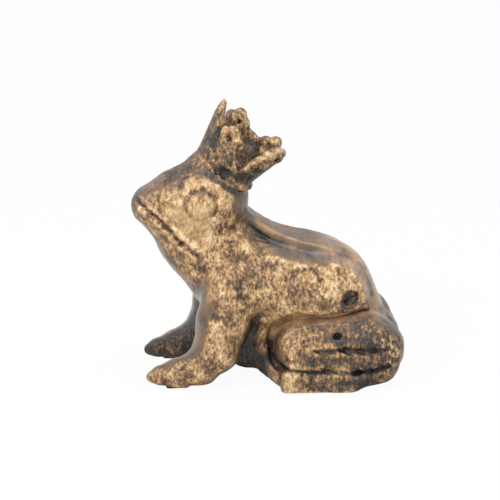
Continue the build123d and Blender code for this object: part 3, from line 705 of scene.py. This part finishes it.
def shapeCrown(c, k):
    soft = k["soft"]
    up, ahead = alongCrown(c["y"], c["z"], seat)
    out = np.sqrt(c["x"] ** 2 + ahead ** 2)
    turn = np.arctan2(c["x"], ahead)
    degrees = np.degrees(turn)
    spread = np.clip(up / k["tipHigh"], 0, k["flareEnd"]) ** k["flare"]
    wallAt = k["baseRadius"] + (k["tipRadius"] - k["baseRadius"]) * spread
    pitch = 2 * math.pi / k["leaves"]
    wornFrom, wornTo, wornMiddle, wornLow = k["worn"]
    worn = (degrees > wornFrom) & (degrees < wornTo)
    local = (turn + pitch / 2) % pitch - pitch / 2
    across = np.where(worn, turn - math.radians(wornMiddle), local) * wallAt
    leafUp = np.where(worn, up + wornLow, up)
    front = (np.abs(turn) < pitch / 2) & ~worn

    def lobe(at, thick):
        middle, high, wide, tall = at
        inWall = ((across - middle) / wide) ** 2 + ((leafUp - high) / tall) ** 2
        return (np.sqrt(inWall + ((out - wallAt) / thick) ** 2) - 1) * min(wide, tall, thick)

    def peg(angle, far, low, high, radius):
        # a rod along the crown's axis with round ends, or a ball where low and high are one
        a = math.radians(angle)
        sideways, onward = c["x"] - far * math.sin(a), ahead - far * math.cos(a)
        rise = up - np.clip(up, low, high)
        return np.sqrt(sideways ** 2 + onward ** 2 + rise ** 2) - radius

    rim = np.interp(degrees, *zip(*k["rim"]))
    body = cut(np.abs(out - wallAt) - k["wall"], -np.maximum(up - rim, -up), soft["rim"])
    for at in k["lobes"]:
        body = np.where(front, body, melt(body, lobe(at, k["lobeThick"]), soft["lobe"]))
    for at in k["frontLobes"]:
        body = np.where(front, melt(body, lobe(at, k["bladeThick"]), soft["blade"]), body)
    pitAcross, pitUp, pitRadius, left = k["pit"]
    pit = np.sqrt((across - pitAcross) ** 2 + (leafUp - pitUp) ** 2) - pitRadius
    body = np.where(front, body, cut(body, np.maximum(pit, left - np.abs(out - wallAt)), soft["pit"]))
    body = melt(body, np.maximum(out - wallAt, np.maximum(up - k["floor"], -up)), soft["floor"])
    dug = np.minimum.reduce([peg(side * at, *size) for at, *size in k["gouges"] for side in (1, -1)])
    body = cut(body, dug, soft["gouge"])
    for at, far, high, radius in k["beads"]:
        body = melt(body, peg(at, far, high, high, radius), soft["bead"])
    return filled(c, np.maximum(body, -k["sunk"] - up)), filled(c, dug)

def measureCrown(k, places, normals):
    lift, forward = alongCrown(places[:, 1], places[:, 2], seat)
    # a normal is a direction, so it starts from the seat
    _, forwardNormal = alongCrown(normals[:, 1] + seat["y"], normals[:, 2] + seat["z"], seat)
    reach = np.sqrt(places[:, 0] ** 2 + forward ** 2)
    return {
        "lift": lift, "forward": forward, "front": forward / np.maximum(reach, 1),
        "outward": (normals[:, 0] * places[:, 0] + forwardNormal * forward) / np.maximum(reach, 1),
        "sideways": np.abs(normals[:, 0]), "toTop": normals[:, 2],
        "offGap": np.abs(np.degrees(np.arctan2(places[:, 0], forward)) - k["shadedGap"]),
    }

def paintCrown(k, at, places):
    plain, onSides = k["gold"]
    onProud, low, high = k["proud"]
    rubAndShade = plain + onSides * share(at, k["sides"]) + onProud * np.clip(at["proud"], low, high)
    gold, frontLess, calmer = k["inside"]
    inside = share(at, k["insideOn"])
    rubAndShade = rubAndShade + (gold - frontLess * share(at, k["insideFront"]) - rubAndShade) * inside
    speck = k["broken"] * (1 - calmer * inside)
    darkerBy, calmer = k["panel"]
    panel = share(at, k["panelOn"])
    rubAndShade, speck = rubAndShade - darkerBy * panel, speck * (1 - calmer * panel)
    darkerBy, window = k["rearWall"]
    rubAndShade = rubAndShade - darkerBy * share(at, window) * (1 - inside)
    for darkerBy, window in k["thin"].values():
        rubAndShade = rubAndShade - darkerBy * share(at, window)
    for strength, size, seed in k["blotches"]:
        rubAndShade = rubAndShade + strength * lattice(places, size, seed)
    return {"rubAndShade": rubAndShade, "speck": speck}

def addCrown(k):
    c = clayBlock(*k["block"], k["step"])
    body, dug = shapeCrown(c, k)
    near = np.clip(body, -k["reliefDeep"], k["reliefDeep"])
    proud = blurred(near, k["reliefCells"]) - near
    mesh = skin(c, body, "crown_skin")
    places, normals = readVertices(mesh)
    at = measureCrown(k, places, normals)
    at.update(proud=readField(c, proud, places), dug=readField(c, dug, places))
    paint = paintCrown(k, at, places)
    rough = sum(high * lattice(places, size, seed) for high, size, seed in k["rough"])
    rough = rough * share(at, k["roughFrom"])
    piece = finishMesh(mesh, places + normals * rough[:, None], paint)
    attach(piece, "root")
    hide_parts("crown")
    print("crown faces", len(mesh.polygons))
    return piece

crownPiece = addCrown(crown)


# finishes

def setStops(ramp, stops):
    while len(ramp.color_ramp.elements) < len(stops):
        ramp.color_ramp.elements.new(0.5)
    for element, (at, colour) in zip(ramp.color_ramp.elements, stops):
        element.position, element.color = at, toLinear(colour)

# gold wax rubbed over black paint on sand-cast iron: black stays in the pits and hollows, brown where the
# rub was thin, warm gold on the high spots, all with the dull gleam of a waxed rough casting
goldRub = {
    # black, brown, gold and pale gold, and the amount of wax at which each is full
    "stops": [(0.12, "#282422"), (0.40, "#76583d"), (0.70, "#c49e70"), (1.0, "#ecd2a8")],
    "grit": 1.0, "lump": 3.2, "patch": 8.0,             # mm
    "streak": 0.6,                                      # upright stretch of the grit
    "contrast": 1.55, "lumpy": 0.9, "cloudy": 0.65,     # what grit, lumps and patches add or take
    "raised": 1.1,                                      # mm, height of the grit
    "dull": (0.32, 0.42), "dullOver": (0.2, 0.7),       # roughness of the black and of the gold
    "metal": (0.0, 0.55), "metalOver": (0.35, 0.75),    # gold flakes lie in the wax, so it's half a metal
    "waxed": (0.7, 0.1), "waxedOver": (0.1, 0.8), "waxDull": 0.3,      # coat on smooth and on broken places
}

def goldRubbedIron(name, r, even=None):
    # even gives one amount all over, for pieces that carry no paint values of their own
    mat, tree = newMaterial(name)
    place = addNode(tree, "ShaderNodeTexCoord").outputs["Object"]
    tall = addNode(tree, "ShaderNodeMapping", {"Vector": place, "Scale": (1, 1, r["streak"])}).outputs[0]
    grit = addNode(tree, "ShaderNodeTexNoise", {
        "Vector": tall, "Scale": 1 / (r["grit"] * mm), "Detail": 3, "Roughness": 0.65})
    lump, patch = (
        addNode(tree, "ShaderNodeTexNoise", {"Vector": place, "Scale": 1 / (r[key] * mm), "Detail": 2})
        for key in ("lump", "patch"))
    took, speck = even, 1.0
    if even is None:
        # the amount carries painted shade as well as the gold
        took = addNode(tree, "ShaderNodeAttribute", attribute_name="rubAndShade").outputs["Fac"]
        speck = addNode(tree, "ShaderNodeAttribute", attribute_name="speck").outputs["Fac"]
    # the noises run round 0.5, here they run round 0
    broken, lumpy, cloud = (
        addNode(tree, "ShaderNodeMath", {0: noise.outputs["Fac"], 1: 0.5}, operation="SUBTRACT").outputs[0]
        for noise in (grit, lump, patch))
    both = addNode(tree, "ShaderNodeMath", {0: broken, 1: r["contrast"]}, operation="MULTIPLY").outputs[0]
    both = addNode(tree, "ShaderNodeMath", {0: lumpy, 1: r["lumpy"], 2: both},
                   operation="MULTIPLY_ADD").outputs[0]
    amount = addNode(tree, "ShaderNodeMath", {0: both, 1: speck, 2: took},
                     operation="MULTIPLY_ADD").outputs[0]
    amount = addNode(tree, "ShaderNodeMath", {0: cloud, 1: r["cloudy"], 2: amount},
                     operation="MULTIPLY_ADD").outputs[0]
    ramp = addNode(tree, "ShaderNodeValToRGB", {0: amount})
    setStops(ramp, r["stops"])
    dull, metal, waxed = (
        addNode(tree, "ShaderNodeMapRange", {
            "Value": value, "From Min": r[key + "Over"][0], "From Max": r[key + "Over"][1],
            "To Min": r[key][0], "To Max": r[key][1]}).outputs[0]
        for key, value in (("dull", amount), ("metal", amount), ("waxed", speck)))
    relief = addNode(tree, "ShaderNodeMath", {0: broken, 1: speck}, operation="MULTIPLY").outputs[0]
    bump = addNode(tree, "ShaderNodeBump", {"Height": relief, "Strength": 1.0, "Distance": r["raised"] * mm})
    shader = addNode(tree, "ShaderNodeBsdfPrincipled", {
        "Base Color": ramp.outputs[0], "Roughness": dull, "Metallic": metal, "Normal": bump.outputs[0],
        "Coat Weight": waxed, "Coat Roughness": r["waxDull"]})
    addNode(tree, "ShaderNodeOutputMaterial", {"Surface": shader.outputs[0]})
    return mat

# oil-blacked steel: turned, then dipped, so it is dark with a fine worn grain and a soft gleam
steel = {
    "grain": 0.6, "raised": 0.1,                        # mm, size and height of the grain
    "stops": [(0.35, "#2c2a29"), (0.7, "#6a5a48")],     # oiled, worn
    "dull": (0.35, 0.55), "metal": 0.9,
}

def oiledSteel(name, s):
    mat, tree = newMaterial(name)
    place = addNode(tree, "ShaderNodeTexCoord").outputs["Object"]
    grain = addNode(tree, "ShaderNodeTexNoise", {
        "Vector": place, "Scale": 1 / (s["grain"] * mm), "Detail": 4}).outputs["Fac"]
    ramp = addNode(tree, "ShaderNodeValToRGB", {0: grain})
    setStops(ramp, s["stops"])
    bump = addNode(tree, "ShaderNodeBump", {"Height": grain, "Strength": 0.3, "Distance": s["raised"] * mm})
    low, high = s["dull"]
    dull = addNode(tree, "ShaderNodeMapRange", {"Value": grain, "To Min": low, "To Max": high})
    shader = addNode(tree, "ShaderNodeBsdfPrincipled", {
        "Base Color": ramp.outputs[0], "Metallic": s["metal"],
        "Roughness": dull.outputs[0], "Normal": bump.outputs[0]})
    addNode(tree, "ShaderNodeOutputMaterial", {"Surface": shader.outputs[0]})
    return mat

# pressed wool felt, dyed black: no gleam, a fuzz of fibres that catches a little light at the edge
felt = {
    "fibre": 0.35, "raised": 0.2,                       # mm, size and height of the fuzz
    "stops": [(0.3, "#151414"), (0.75, "#393636")],
    "dull": 0.95, "sheen": 0.3,
}

def blackFelt(name, s):
    mat, tree = newMaterial(name)
    place = addNode(tree, "ShaderNodeTexCoord").outputs["Object"]
    fuzz = addNode(tree, "ShaderNodeTexNoise", {
        "Vector": place, "Scale": 1 / (s["fibre"] * mm), "Detail": 5, "Roughness": 0.7}).outputs["Fac"]
    ramp = addNode(tree, "ShaderNodeValToRGB", {0: fuzz})
    setStops(ramp, s["stops"])
    bump = addNode(tree, "ShaderNodeBump", {"Height": fuzz, "Strength": 0.8, "Distance": s["raised"] * mm})
    shader = addNode(tree, "ShaderNodeBsdfPrincipled", {
        "Base Color": ramp.outputs[0], "Roughness": s["dull"],
        "Sheen Weight": s["sheen"], "Normal": bump.outputs[0]})
    addNode(tree, "ShaderNodeOutputMaterial", {"Surface": shader.outputs[0]})
    return mat

def dress(ob, mat):
    ob.data.materials.clear()
    ob.data.materials.append(mat)

screwGold = 0.24           # the cross screw was painted over with the casting and rubbed thinly
castFinish = goldRubbedIron("goldRubbedIron", goldRub)
crownFinish = goldRubbedIron("goldRubbedCrownIron", goldRub)
paintedSteel = goldRubbedIron("goldRubbedSteel", goldRub, screwGold)
steelFinish = oiledSteel("oiledSteel", steel)
feltFinish = blackFelt("blackFelt", felt)
for half in halves.values():
    dress(half, castFinish)
dress(crownPiece, crownFinish)
for name in ("tie_screw", "tie_nut"):
    dress(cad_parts[name], paintedSteel)
for name in ("crown_screw", "crown_washer"):
    dress(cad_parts[name], steelFinish)
for name in ("pad_front_left", "pad_front_right", "pad_hind_left", "pad_hind_right"):
    dress(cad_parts[name], feltFinish)
print("finishes are on")
